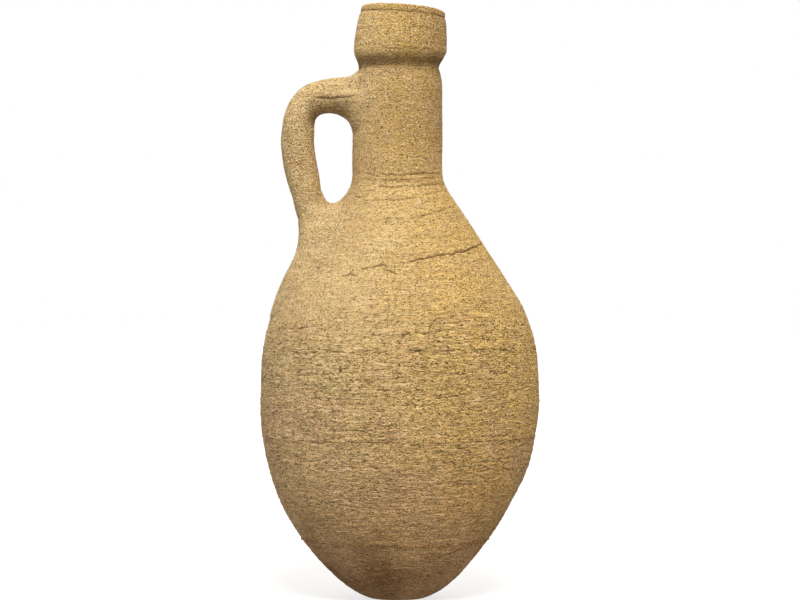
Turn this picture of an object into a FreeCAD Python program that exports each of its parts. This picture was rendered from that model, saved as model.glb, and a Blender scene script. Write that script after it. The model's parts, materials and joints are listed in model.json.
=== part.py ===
import FreeCAD
import Part
import Sketcher
import math
import os

# A one-handled earthenware amphora, 0.5 m tall, built from luted clay members.
# Millimetres. +Z is up, the origin is the centre of the flat foot, the handle is on -X.

SIZES = {
    # vessel form, outside
    "foot_radius": 22.0,
    "base_round": 72.0,
    "lower_round": 202.0,
    "belly_radius": 118.0,
    "belly_low": 168.0,
    "belly_high": 184.0,
    "upper_round": 137.0,
    "shoulder_angle": 32.3,
    "throat_round": 30.0,
    "neck_radius": 38.0,
    "neck_top": 425.0,
    "waist_radius": 33.5,
    "ledge_height": 447.0,
    "spigot_radius": 31.0,
    "spigot_top": 472.0,
    # cavity
    "wall": 9.5,
    "floor_thickness": 11.0,
    "inner_throat_round": 40.0,
    "bore_radius": 26.0,
    "bore_top": 520.0,
    # luted seams between the wall members: where each one meets the outer face
    "seam_base_radius": 77.0,
    "seam_base_height": 48.0,
    "seam_lower_radius": 115.2,
    "seam_lower_height": 135.0,
    "seam_upper_radius": 115.7,
    "seam_upper_height": 209.0,
    "seam_shoulder_radius": 80.4,
    "seam_shoulder_height": 283.0,
    "seam_neck_radius": 40.2,
    "seam_neck_height": 348.0,
    "seam_bevel": 20.0,
    # how far the cutting bodies reach, all clear of the vessel
    "zone_radius": 140.0,
    "zone_low": -10.0,
    "zone_high": 500.0,
    # collar and lip, in their own tilted frame
    "collar_height": 456.0,
    "collar_tilt": 4.5,
    "collar_skirt": 20.0,
    "collar_waist": 33.6,
    "collar_underside": 7.0,
    "collar_corner_radius": 37.4,
    "collar_seat": 35.0,
    "collar_top_radius": 36.0,
    "collar_barrel_round": 66.0,
    "lip_height": 5.5,
    "lip_radius": 35.6,
    "lip_outer_round": 3.2,
    "lip_inner_round": 2.2,
    # handle strap
    "strap_thickness": 27.0,
    "strap_width": 35.0,
    "arm_height": 424.5,
    "arm_start": 30.0,
    "bend_start": 60.0,
    "bend_round": 26.0,
    "limb_round": 242.0,
    "limb_angle": 17.0,
    "limb_end_height": 292.0,
}

# Luting wads: elliptical sections of the blanks they are lofted from.
# The upper wad's sections lie along -X, the lower wad's up the Z axis.
TOP_WAD_SECTIONS = [
    # distance from the axis, height of the centre, half height, half width
    (28.0, 417.5, 25.0, 25.4),
    (38.5, 418.5, 26.0, 26.2),
    (48.0, 421.0, 18.5, 21.5),
    (62.0, 424.5, 12.4, 16.2),
]
ROOT_WAD_SECTIONS = [
    # height, distance of the centre from the axis, half thickness, half width
    (240.0, 78.0, 23.0, 23.2),
    (262.0, 76.0, 25.4, 25.6),
    (296.0, 63.0, 23.2, 25.5),
    (328.0, 72.0, 16.2, 20.0),
    (344.0, 78.3, 12.4, 16.0),
]
SECTION_FIELDS = ["station", "centre", "thin", "wide"]

WALL_MEMBERS = [
    # node, seam below, seam above
    ("base_cup", None, "seam_base"),
    ("lower_wall", "seam_base", "seam_lower"),
    ("belly_band", "seam_lower", "seam_upper"),
    ("lower_shoulder", "seam_upper", "seam_shoulder"),
    ("upper_shoulder", "seam_shoulder", "seam_neck"),
    ("neck_tube", "seam_neck", None),
]

document = FreeCAD.newDocument("Amphora")
FIT_TOLERANCE = 0.01
ORIGIN_POINT = (-1, 1)
# Turns for the elliptical sections: standing across the X axis, or lying across the Z axis.
ACROSS_X = FreeCAD.Rotation(FreeCAD.Vector(1, 1, 1), 120)
ACROSS_Z = FreeCAD.Rotation(FreeCAD.Vector(0, 0, 1), 90)


def make_sheet():
    sheet = document.addObject("Spreadsheet::Sheet", "Sizes")
    entries = dict(SIZES)
    for wad, sections in (("top_wad", TOP_WAD_SECTIONS), ("root_wad", ROOT_WAD_SECTIONS)):
        for number, section in enumerate(sections):
            for field, value in zip(SECTION_FIELDS, section):
                entries[f"{wad}_{field}_{number}"] = value
    for row, (alias, value) in enumerate(entries.items(), start=1):
        sheet.set(f"A{row}", alias)
        sheet.set(f"B{row}", str(value))
        sheet.setAlias(f"B{row}", alias)
    document.recompute()
    return sheet


class Outline:
    """A chain of lines and arcs in the XZ plane, with its sizes bound to the sheet.

    The coordinates it is drawn with are only near its shape; its constraints then set it.
    """

    def __init__(self, body, name, start):
        if body is None:
            self.sketch = document.addObject("Sketcher::SketchObject", name)
            turn = FreeCAD.Rotation(FreeCAD.Vector(1, 0, 0), 90)
            self.sketch.Placement = FreeCAD.Placement(FreeCAD.Vector(), turn)
        else:
            self.sketch = body.newObject("Sketcher::SketchObject", name)
            plane = next(f for f in body.Origin.OriginFeatures if f.Role == "XZ_Plane")
            self.sketch.AttachmentSupport = [(plane, "")]
            self.sketch.MapMode = "FlatFace"
        self.points = [start]
        self.chain = []

    def line(self, end, smooth=False):
        start = self.points[-1]
        geometry = Part.LineSegment(FreeCAD.Vector(*start, 0), FreeCAD.Vector(*end, 0))
        return self._add(geometry, end, smooth)

    def arc(self, end, bulge, smooth=True):
        """An arc to end, bulging by that much to the right of the chord, as seen going along it."""
        start = self.points[-1]
        first, last = (start, end) if bulge > 0 else (end, start)
        length = math.dist(first, last)
        radius = (length**2 / 4 + bulge**2) / (2 * abs(bulge))
        offset = (radius - abs(bulge)) / length
        centre_x = (first[0] + last[0]) / 2 - offset * (last[1] - first[1])
        centre_y = (first[1] + last[1]) / 2 + offset * (last[0] - first[0])
        angles = [math.atan2(y - centre_y, x - centre_x) for x, y in (first, last)]
        if angles[1] < angles[0]:
            angles[1] += 2 * math.pi
        centre = FreeCAD.Vector(centre_x, centre_y, 0)
        circle = Part.Circle(centre, FreeCAD.Vector(0, 0, 1), radius)
        return self._add(Part.ArcOfCircle(circle, *angles), end, smooth)

    def _add(self, geometry, end, smooth):
        start = self.points[-1]
        index = self.sketch.addGeometry(geometry, False)
        placed = self.sketch.Geometry[index].StartPoint
        forward = math.dist((placed.x, placed.y), start) < math.dist((placed.x, placed.y), end)
        link = (index, 1 if forward else 2, 2 if forward else 1)
        if self.chain:
            self._join(self.chain[-1], link, smooth)
        self.chain.append(link)
        self.points.append(end)
        return index

    def _join(self, before, after, smooth):
        kind = "Tangent" if smooth else "Coincident"
        self.sketch.addConstraint(
            Sketcher.Constraint(kind, before[0], before[2], after[0], after[1])
        )

    def close(self):
        self._join(self.chain[-1], self.chain[0], False)

    def bind(self, constraint, name, expression):
        index = self.sketch.addConstraint(constraint)
        self.sketch.renameConstraint(index, name)
        self.sketch.setExpression(f"Constraints.{name}", expression)

    def place(self, link, x=None, y=None, start=False):
        """Fixes the end (or start) of a chain link: 0 puts it on the axis, text is a size."""
        index, first, last = self.chain[link]
        end = first if start else last
        for kind, value in (("DistanceX", x), ("DistanceY", y)):
            if value is None:
                continue
            if value == 0:
                axis = -2 if kind == "DistanceX" else -1
                self.sketch.addConstraint(Sketcher.Constraint("PointOnObject", index, end, axis))
                continue
            point = self.points[link if start else link + 1]
            guess = point[0 if kind == "DistanceX" else 1]
            constraint = Sketcher.Constraint(kind, *ORIGIN_POINT, index, end, guess)
            name = f"{kind}_{'start' if start else 'end'}_{link}"
            self.bind(constraint, name, value)

    def radius(self, link, expression):
        index = self.chain[link][0]
        guess = self.sketch.Geometry[index].Radius
        self.bind(Sketcher.Constraint("Radius", index, guess), f"Radius_{link}", expression)

    def slant(self, link, guess, expression):
        """Sets a straight link's angle from the X direction, in degrees."""
        constraint = Sketcher.Constraint("Angle", self.chain[link][0], math.radians(guess))
        self.bind(constraint, f"Slant_{link}", expression)

    def upright(self, *links):
        for link in links:
            self.sketch.addConstraint(Sketcher.Constraint("Vertical", self.chain[link][0]))

    def level(self, *links):
        for link in links:
            self.sketch.addConstraint(Sketcher.Constraint("Horizontal", self.chain[link][0]))


def revolve(body, sketch):
    turn = body.newObject("PartDesign::Revolution", body.Name + "_turn")
    turn.Profile = sketch
    turn.ReferenceAxis = (sketch, ["V_Axis"])
    turn.Angle = 360.0
    return body


def vessel_form():
    """The vessel as a solid: foot, base, lower wall, belly, shoulder, neck and spigot."""
    body = document.addObject("PartDesign::Body", "vessel_form")
    outline = Outline(body, "form_outline", (0.0, 0.0))
    outline.line((22.0, 0.0))
    outline.arc((51.0, 16.0), 3.8, smooth=False)
    outline.arc((118.0, 168.0), 16.5)
    outline.line((118.0, 184.0), smooth=True)
    outline.arc((96.8, 257.2), 5.4)
    outline.line((42.6, 343.0), smooth=True)
    outline.arc((38.0, 359.0), -1.2)
    outline.line((38.0, 425.0), smooth=True)
    outline.arc((33.5, 447.0), 1.1)
    outline.line((31.0, 447.0))
    outline.line((31.0, 472.0))
    outline.line((0.0, 472.0))
    outline.line((0.0, 0.0))
    outline.close()
    outline.level(9, 11)
    outline.upright(3, 7, 10)
    outline.place(0, "Sizes.foot_radius", 0)
    outline.radius(1, "Sizes.base_round")
    outline.radius(2, "Sizes.lower_round")
    outline.place(2, "Sizes.belly_radius", "Sizes.belly_low")
    outline.place(3, None, "Sizes.belly_high")
    outline.radius(4, "Sizes.upper_round")
    outline.slant(5, 90.0 + SIZES["shoulder_angle"], "90 + Sizes.shoulder_angle")
    outline.radius(6, "Sizes.throat_round")
    outline.place(7, "Sizes.neck_radius", "Sizes.neck_top")
    outline.place(8, "Sizes.waist_radius", "Sizes.ledge_height")
    outline.place(9, "Sizes.spigot_radius", None)
    outline.place(11, 0, "Sizes.spigot_top")
    outline.place(12, 0, 0)
    return revolve(body, outline.sketch)


def vessel_cavity():
    """The space inside, a wall's thickness in from the form, running up into the straight bore."""
    body = document.addObject("PartDesign::Body", "vessel_cavity")
    outline = Outline(body, "cavity_outline", (0.0, 11.0))
    outline.line((5.0, 11.0))
    outline.arc((45.0, 24.0), 9.0)
    outline.arc((108.5, 168.0), 16.0)
    outline.line((108.5, 184.0), smooth=True)
    outline.arc((88.7, 252.0), 5.0)
    outline.line((33.0, 341.0), smooth=True)
    outline.arc((26.0, 362.0), -1.6)
    outline.line((26.0, 520.0), smooth=True)
    outline.line((0.0, 520.0))
    outline.line((0.0, 11.0))
    outline.close()
    outline.level(0, 8)
    outline.upright(3, 7)
    outline.place(9, 0, "Sizes.floor_thickness")
    outline.radius(1, "Sizes.base_round - Sizes.wall")
    outline.radius(2, "Sizes.lower_round - Sizes.wall")
    outline.place(2, "Sizes.belly_radius - Sizes.wall", "Sizes.belly_low")
    outline.place(3, None, "Sizes.belly_high")
    outline.radius(4, "Sizes.upper_round - Sizes.wall")
    outline.slant(5, 90.0 + SIZES["shoulder_angle"], "90 + Sizes.shoulder_angle")
    outline.radius(6, "Sizes.inner_throat_round")
    outline.place(7, "Sizes.bore_radius", "Sizes.bore_top")
    outline.place(8, 0, None)
    return revolve(body, outline.sketch)


def seam_line(seam, radius):
    """Height of a bevelled seam at a radius, as an expression on the sheet."""
    rise = f"({radius} - Sizes.{seam}_radius) * tan(Sizes.seam_bevel * 1 deg)"
    return f"Sizes.{seam}_height + {rise}"


def seam_guess(seam, radius):
    """The same height as a number, to draw with before the constraints are set."""
    slope = math.tan(math.radians(SIZES["seam_bevel"]))
    return SIZES[f"{seam}_height"] + (radius - SIZES[f"{seam}_radius"]) * slope


def zone(name, below, above):
    """The space between two bevelled seams, as a turned body out to beyond the belly."""
    body = document.addObject("PartDesign::Body", name)
    reach = SIZES["zone_radius"]
    low = [seam_guess(below, r) if below else SIZES["zone_low"] for r in (0.0, reach)]
    high = [seam_guess(above, r) if above else SIZES["zone_high"] for r in (0.0, reach)]
    outline = Outline(body, name + "_outline", (0.0, low[0]))
    outline.line((reach, low[1]))
    outline.line((reach, high[1]))
    outline.line((0.0, high[0]))
    outline.line((0.0, low[0]))
    outline.close()
    ends = ("0", "Sizes.zone_radius")
    low_text = [seam_line(below, r) if below else "Sizes.zone_low" for r in ends]
    high_text = [seam_line(above, r) if above else "Sizes.zone_high" for r in ends]
    outline.place(0, "Sizes.zone_radius", low_text[1])
    outline.place(1, "Sizes.zone_radius", high_text[1])
    outline.place(2, 0, high_text[0])
    outline.place(3, 0, low_text[0])
    return revolve(body, outline.sketch)


def combine(kind, name, base, tool):
    piece = document.addObject(kind, name)
    piece.Base = base
    piece.Tool = tool
    return piece


def wall_member(name, below, above, wall):
    return combine("Part::Common", name, wall, zone(name + "_zone", below, above))


def set_in_collar_frame(body):
    """Puts a turned body in the collar's frame, which leans so that its -X side is high."""
    body.Placement = FreeCAD.Placement(
        FreeCAD.Vector(0, 0, SIZES["collar_height"]),
        FreeCAD.Rotation(FreeCAD.Vector(0, 1, 0), SIZES["collar_tilt"]),
    )
    body.setExpression("Placement.Base.z", "Sizes.collar_height")
    body.setExpression("Placement.Rotation.Angle", "Sizes.collar_tilt * 1 deg")
    return body


def collar_form():
    """The collar as a solid: a skirt, a sloping underside, then a barrel up to the lip's seat."""
    body = document.addObject("PartDesign::Body", "collar_form")
    outline = Outline(body, "collar_outline", (0.0, -20.0))
    outline.line((33.6, -20.0))
    outline.line((33.6, -7.0))
    outline.line((37.4, 0.0))
    outline.arc((36.0, 35.0), 2.3, smooth=False)
    outline.line((0.0, 35.0))
    outline.line((0.0, -20.0))
    outline.close()
    outline.level(4)
    outline.place(0, "Sizes.collar_waist", "-Sizes.collar_skirt")
    outline.place(1, "Sizes.collar_waist", "-Sizes.collar_underside")
    outline.place(2, "Sizes.collar_corner_radius", 0)
    outline.radius(3, "Sizes.collar_barrel_round")
    outline.place(3, "Sizes.collar_top_radius", "Sizes.collar_seat")
    outline.place(4, 0, None)
    outline.place(5, 0, "-Sizes.collar_skirt")
    return set_in_collar_frame(revolve(body, outline.sketch))


def collar_socket():
    """What the collar is hollowed by: the ledge and spigot of the neck, then the bore."""
    body = document.addObject("PartDesign::Body", "collar_socket")
    outline = Outline(body, "socket_outline", (0.0, 425.0))
    outline.line((140.0, 425.0))
    outline.line((140.0, 447.0))
    outline.line((31.0, 447.0))
    outline.line((31.0, 472.0))
    outline.line((26.0, 472.0))
    outline.line((26.0, 520.0))
    outline.line((0.0, 520.0))
    outline.line((0.0, 425.0))
    outline.close()
    outline.place(0, "Sizes.zone_radius", "Sizes.neck_top")
    outline.place(1, "Sizes.zone_radius", "Sizes.ledge_height")
    outline.place(2, "Sizes.spigot_radius", "Sizes.ledge_height")
    outline.place(3, "Sizes.spigot_radius", "Sizes.spigot_top")
    outline.place(4, "Sizes.bore_radius", "Sizes.spigot_top")
    outline.place(5, "Sizes.bore_radius", "Sizes.bore_top")
    outline.place(6, 0, "Sizes.bore_top")
    outline.place(7, 0, "Sizes.neck_top")
    return revolve(body, outline.sketch)


def lip_form():
    """The lip as a disc with its outer top edge rounded, standing on the collar's seat."""
    body = document.addObject("PartDesign::Body", "lip_form")
    outline = Outline(body, "lip_outline", (0.0, 35.0))
    outline.line((35.6, 35.0))
    outline.line((35.6, 37.3))
    outline.arc((32.4, 40.5), 0.94)
    outline.line((0.0, 40.5), smooth=True)
    outline.line((0.0, 35.0))
    outline.close()
    outline.upright(1)
    outline.level(3)
    outline.place(0, "Sizes.lip_radius", "Sizes.collar_seat")
    outline.radius(2, "Sizes.lip_outer_round")
    outline.place(3, 0, "Sizes.collar_seat + Sizes.lip_height")
    outline.place(4, 0, "Sizes.collar_seat")
    return set_in_collar_frame(revolve(body, outline.sketch))


def bore_cylinder():
    bore = document.addObject("Part::Cylinder", "bore")
    bore.Placement.Base = FreeCAD.Vector(0, 0, SIZES["neck_top"])
    bore.setExpression("Radius", "Sizes.bore_radius")
    bore.setExpression("Height", "Sizes.bore_top - Sizes.neck_top")
    return bore


def rounded_mouth(name, ring):
    """Rounds the inner top edge of the lip ring: the highest edge lying on the bore."""
    document.recompute()
    bore = SIZES["bore_radius"]
    on_bore = []
    for number, edge in enumerate(ring.Shape.Edges, start=1):
        spots = [edge.valueAt(p) for p in edge.ParameterRange]
        spots.append(edge.valueAt(sum(edge.ParameterRange) / 2))
        if all(abs(math.hypot(spot.x, spot.y) - bore) < FIT_TOLERANCE for spot in spots):
            on_bore.append((edge.CenterOfMass.z, number))
    inner = max(on_bore)[1]
    rounded = document.addObject("Part::Fillet", name)
    rounded.Base = ring
    size = SIZES["lip_inner_round"]
    rounded.Edges = [(inner, size, size)]
    return rounded


def strap_path():
    """Centre line of the handle strap: out from the neck, round the bend, down to the shoulder."""
    outline = Outline(None, "strap_path", (-30.0, 424.5))
    outline.line((-60.0, 424.5))
    outline.arc((-86.0, 398.5), 7.6)
    outline.arc((-75.4, 327.8), 2.7)
    outline.line((-64.5, 292.0), smooth=True)
    outline.level(0)
    outline.place(0, "-Sizes.arm_start", "Sizes.arm_height", start=True)
    outline.place(0, "-Sizes.bend_start", None)
    outline.radius(1, "Sizes.bend_round")
    outline.place(1, "-Sizes.bend_start - Sizes.bend_round", None)
    outline.radius(2, "Sizes.limb_round")
    outline.slant(3, SIZES["limb_angle"] - 90.0, "Sizes.limb_angle - 90")
    outline.place(3, None, "Sizes.limb_end_height")
    return outline.sketch


def section(name, centre, turn, wide, thin):
    """An elliptical section, with its longer half axis along Y."""
    oval = document.addObject("Part::Ellipse", name)
    oval.MajorRadius = 40.0
    oval.setExpression("MinorRadius", thin)
    oval.setExpression("MajorRadius", wide)
    oval.Placement = FreeCAD.Placement(FreeCAD.Vector(), turn)
    for axis, value in zip("xyz", centre):
        if value:
            oval.setExpression(f"Placement.Base.{axis}", value)
    return oval


def strap_blank():
    """The strap at full length, before it is trimmed to the vessel."""
    oval = section(
        "strap_section",
        ("-Sizes.arm_start", None, "Sizes.arm_height"),
        ACROSS_X,
        "Sizes.strap_width / 2",
        "Sizes.strap_thickness / 2",
    )
    path = strap_path()
    sweep = document.addObject("Part::Sweep", "strap_blank")
    sweep.Sections = [oval]
    sweep.Spine = (path, [f"Edge{number}" for number in range(1, 5)])
    sweep.Solid = True
    sweep.Frenet = False
    return sweep


def wad_blank(name, sections, turn):
    """A wad lofted through its elliptical sections."""
    ovals = []
    for number in range(len(sections)):
        station = f"Sizes.{name}_station_{number}"
        centre = f"Sizes.{name}_centre_{number}"
        place = (f"-{station}", None, centre) if turn == ACROSS_X else (f"-{centre}", None, station)
        wide = f"Sizes.{name}_wide_{number}"
        thin = f"Sizes.{name}_thin_{number}"
        ovals.append(section(f"{name}_section_{number}", place, turn, wide, thin))
    loft = document.addObject("Part::Loft", name + "_blank")
    loft.Sections = ovals
    loft.Solid = True
    loft.Ruled = False
    return loft


def handle_pieces(form):
    """The strap trimmed to the vessel, and the wads trimmed to the vessel and the strap."""
    strap = strap_blank()
    pieces = [combine("Part::Cut", "handle_strap", strap, form)]
    wads = (("top_wad", TOP_WAD_SECTIONS, ACROSS_X), ("root_wad", ROOT_WAD_SECTIONS, ACROSS_Z))
    for name, sections, turn in wads:
        blank = wad_blank(name, sections, turn)
        seated = combine("Part::Cut", name + "_seated", blank, form)
        pieces.append(combine("Part::Cut", "handle_" + name, seated, strap))
    return pieces


def amphora():
    """All the named pieces, from the foot up."""
    form = vessel_form()
    wall = combine("Part::Cut", "vessel_wall", form, vessel_cavity())
    pieces = [wall_member(name, below, above, wall) for name, below, above in WALL_MEMBERS]
    collar = combine("Part::Cut", "rim_collar", collar_form(), collar_socket())
    ring = combine("Part::Cut", "lip_ring", lip_form(), bore_cylinder())
    pieces += [collar, rounded_mouth("rim_lip", ring)]
    return pieces + handle_pieces(form)


make_sheet()
nodes = amphora()
for node in nodes:
    node.Label = node.Name
document.recompute()

for item in document.Objects:
    if "Invalid" in item.State or "Error" in item.State:
        raise RuntimeError(f"{item.Name} did not compute: {item.State}")
for node in nodes:
    if node.Shape.isNull() or not node.Shape.isValid() or len(node.Shape.Solids) != 1:
        raise RuntimeError(f"{node.Label} is not one valid solid")

os.makedirs("parts", exist_ok=True)
for node in nodes:
    node.Shape.exportStep(f"parts/{node.Label}.step")
    box = node.Shape.BoundBox
    print(
        f"{node.Label}: {node.Shape.Volume / 1000:.1f} cm3,"
        f" x {box.XMin:.1f} {box.XMax:.1f} y {box.YMin:.1f} {box.YMax:.1f}"
        f" z {box.ZMin:.1f} {box.ZMax:.1f}"
    )
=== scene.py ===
import itertools
import json
import math

import bpy
import numpy as np
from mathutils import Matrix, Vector
from mathutils.bvhtree import BVHTree


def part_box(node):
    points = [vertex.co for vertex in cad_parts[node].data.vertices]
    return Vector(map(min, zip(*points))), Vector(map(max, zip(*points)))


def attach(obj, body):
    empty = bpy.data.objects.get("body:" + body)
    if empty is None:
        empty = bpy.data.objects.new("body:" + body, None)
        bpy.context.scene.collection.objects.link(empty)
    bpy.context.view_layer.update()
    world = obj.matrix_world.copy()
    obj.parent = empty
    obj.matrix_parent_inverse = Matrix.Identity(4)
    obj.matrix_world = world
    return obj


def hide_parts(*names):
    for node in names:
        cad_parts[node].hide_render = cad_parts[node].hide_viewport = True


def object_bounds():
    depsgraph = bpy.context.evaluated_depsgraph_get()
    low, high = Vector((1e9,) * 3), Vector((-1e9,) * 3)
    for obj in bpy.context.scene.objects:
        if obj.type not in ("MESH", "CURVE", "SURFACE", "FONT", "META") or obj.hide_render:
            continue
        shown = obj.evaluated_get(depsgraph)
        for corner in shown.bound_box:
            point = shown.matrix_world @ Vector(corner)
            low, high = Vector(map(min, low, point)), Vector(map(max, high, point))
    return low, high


# The clay skins of a one-handled amphora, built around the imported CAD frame.
# Shapes are worked out in millimetres, in the frame's own axes, and become metres in the meshes.
# -Y is the front, and the handle is on -X.

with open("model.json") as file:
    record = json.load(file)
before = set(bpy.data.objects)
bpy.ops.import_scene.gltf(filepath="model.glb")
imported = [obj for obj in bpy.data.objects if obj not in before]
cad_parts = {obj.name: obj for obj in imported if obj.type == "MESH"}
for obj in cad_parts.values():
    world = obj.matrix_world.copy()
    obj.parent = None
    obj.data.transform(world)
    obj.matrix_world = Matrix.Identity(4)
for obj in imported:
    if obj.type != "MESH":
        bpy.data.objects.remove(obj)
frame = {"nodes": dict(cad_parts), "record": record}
cad_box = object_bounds()

MM = 0.001
ROW_STEP = 0.9          # spacing of the outer rows of the skins
INNER_STEP = 6.0        # spacing of the rows on hidden inner faces
TONGUE_LENGTH = 2.6     # how far a member runs on under its upper neighbour
TONGUE_SINK = 0.8
SPIGOT_WALL = 5.0       # thickness of the neck's spigot, inside the collar
FOOT_REACH = 20.0       # the underside within this reach of the axis has fewer rows
HANDLE_ROUGHNESS = 0.24

WALL = ["base_cup", "lower_wall", "belly_band", "lower_shoulder", "upper_shoulder", "neck_tube"]
COLUMNS = [600, 800, 860, 800, 500, 300]
RIM_COLUMNS = 300


# ---------------------------------------------------------------- smooth helpers


def ramp(value, low, high):
    """0 below low, 1 above high, with a smooth step between. Works with low above high too."""
    share = np.clip((value - low) / (high - low), 0.0, 1.0)
    return share * share * (3.0 - 2.0 * share)


def soft_min(a, b, reach):
    overlap = np.maximum(reach - np.abs(a - b), 0.0) / reach
    return np.minimum(a, b) - overlap * overlap * reach / 4.0


def soft_max(a, b, reach):
    return -soft_min(-a, -b, reach)


def bell(value, centre, width):
    return np.exp(-(((value - centre) / width) ** 2))


def full_turn(count):
    """Evenly spaced angles that go once round."""
    return np.linspace(0.0, 2.0 * math.pi, count, endpoint=False)


class Noise:
    """Gradient noise in space from a fixed seed. Values run from about -1 to 1."""

    def __init__(self, seed):
        source = np.random.default_rng(seed)
        order = source.permutation(256)
        self.order = np.concatenate([order, order, order[:2]])
        pull = source.normal(size=(256, 3))
        self.pull = pull / np.linalg.norm(pull, axis=1, keepdims=True)

    def __call__(self, spots, scale):
        """scale is the cell size in mm: one number, or one for each of X, Y and Z."""
        place = spots / np.asarray(scale, float)
        cell = np.floor(place).astype(np.int64)
        part = place - cell
        fade = part**3 * (part * (part * 6.0 - 15.0) + 10.0)
        cell &= 255
        total = np.zeros(spots.shape[:-1])
        for corner in itertools.product((0, 1), repeat=3):
            index = self.order[cell[..., 0] + corner[0]]
            index = self.order[index + cell[..., 1] + corner[1]]
            index = self.order[index + cell[..., 2] + corner[2]]
            dot = np.sum(self.pull[index] * (part - corner), axis=-1)
            weight = 1.0
            for axis in range(3):
                weight = weight * (fade[..., axis] if corner[axis] else 1.0 - fade[..., axis])
            total += dot * weight
        return total * 1.7


swell = Noise(11)
stroke = Noise(23)
dent = Noise(37)
grit = Noise(41)
break_up = Noise(53)


# ---------------------------------------------------------------- the wall's shape, read from the CAD


def tree_of(names):
    points = []
    faces = []
    for name in names:
        mesh = frame["nodes"][name].data
        first = len(points)
        points += [vertex.co / MM for vertex in mesh.vertices]
        faces += [[first + index for index in face.vertices] for face in mesh.polygons]
    return BVHTree.FromPolygons(points, faces)


wall_tree = tree_of(WALL)
HUB = 175.0                    # height of a point on the axis that sees the whole wall
SIDES = [0.4, 0.9, 1.3, 1.9]   # bearings the wall is probed at, in radians


def probe(steepness, from_outside):
    """Radius and height of the wall's outer or inner face in one direction from the hub."""
    reach = []
    for side in SIDES:
        flat = math.cos(steepness)
        ray = Vector((flat * math.cos(side), flat * math.sin(side), math.sin(steepness)))
        hub = Vector((0.0, 0.0, HUB))
        start = hub + ray * 500.0 if from_outside else hub
        hit = wall_tree.ray_cast(start, -ray if from_outside else ray)[0]
        reach.append((hit - hub).length)
    far = max(reach)
    return far * math.cos(steepness), HUB + far * math.sin(steepness)


def even_line(points, step):
    """The same line with its points an even step apart, and with its facets smoothed."""
    points = np.array(points)
    length = np.concatenate([[0.0], np.cumsum(np.hypot(*np.diff(points, axis=0).T))])
    along = np.linspace(0.0, length[-1], int(length[-1] / step) + 1)
    line = np.stack([np.interp(along, length, points[:, axis]) for axis in (0, 1)], axis=1)
    for _ in range(30):
        line[1:-1] = (line[:-2] + 2.0 * line[1:-1] + line[2:]) / 4.0
    return along, line


def bottom_of(name):
    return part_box(name)[0].z / MM


def top_of(name):
    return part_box(name)[1].z / MM


ledge_height = bottom_of("rim_collar")
spigot_height = top_of("neck_tube")
mouth_radius = next(m for m in frame["record"]["mounts"] if m["name"] == "mouth")["dims"]["r_mm"]
spigot_radius = mouth_radius + SPIGOT_WALL
outer_dots = [(0.0, 0.0)]
for angle in np.linspace(math.radians(-89.0), math.radians(83.0), 700):
    dot = probe(angle, True)
    if dot[1] < ledge_height - 0.8:
        outer_dots.append(dot)
inner_dots = [(0.0, probe(math.radians(-89.5), False)[1])]
for angle in np.linspace(math.radians(-88.0), math.radians(84.8), 300):
    inner_dots.append(probe(angle, False))
outer_along, outer_line = even_line(outer_dots, 0.5)
inner_along, inner_line = even_line(inner_dots, 1.0)


def on_line(along, line, spot):
    return np.interp(spot, along, line[:, 0]), np.interp(spot, along, line[:, 1])


def along_at_height(along, line, height):
    return float(np.interp(height, line[:, 1], along))


# Where the hand-built axis strays in x, by height.
STRAY_HEIGHT = [0.0, 40.0, 75.0, 110.0, 170.0, 220.0, 300.0, 360.0, 425.0, 447.0, 500.0]
STRAY = [-2.0, -3.2, -3.2, -1.2, 0.5, 0.1, -0.4, -1.6, -2.0, -0.4, -0.4]


def stray(height):
    """The axis's drift in x, averaged over a short stretch so that it bends smoothly."""
    shifts = (-12.0, -6.0, 0.0, 6.0, 12.0)
    return sum(np.interp(height + shift, STRAY_HEIGHT, STRAY) for shift in shifts) / len(shifts)


def swelling(bearing, height):
    """How far the wall stands out of true at a bearing round the axis and a height."""
    spots = np.stack([np.cos(bearing) * 90.0, np.sin(bearing) * 90.0, height], axis=-1)
    calm = (0.35 + 0.65 * ramp(height, 440.0, 330.0)) * ramp(height, 0.0, 30.0)
    uneven = 1.5 * swell(spots, (95.0, 95.0, 80.0)) + 0.7 * swell(spots, (38.0, 38.0, 30.0))
    from_handle = np.abs(np.remainder(bearing, 2.0 * math.pi) - math.pi)
    smear = 1.8 * bell(from_handle, 0.0, 0.5) * bell(height, 255.0, 25.0)
    slimmer = np.interp(height, [0.0, 30.0, 60.0, 150.0, 200.0], [0.0, 1.2, 1.5, 1.3, 0.4])
    return uneven * calm + smear - slimmer


def wall_distance(spots):
    """Roughly how far points lie outside the wall's outer face."""
    height = spots[..., 2]
    across = spots[..., 0] - stray(height)
    bearing = np.arctan2(spots[..., 1], across)
    radius = np.interp(height, outer_line[:, 1], outer_line[:, 0])
    above = np.interp(height + 2.0, outer_line[:, 1], outer_line[:, 0])
    slope = (above - radius) / 2.0
    gap = np.hypot(across, spots[..., 1]) - radius - swelling(bearing, height)
    return gap / np.sqrt(1.0 + slope * slope)


# ---------------------------------------------------------------- the handle's shape

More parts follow.
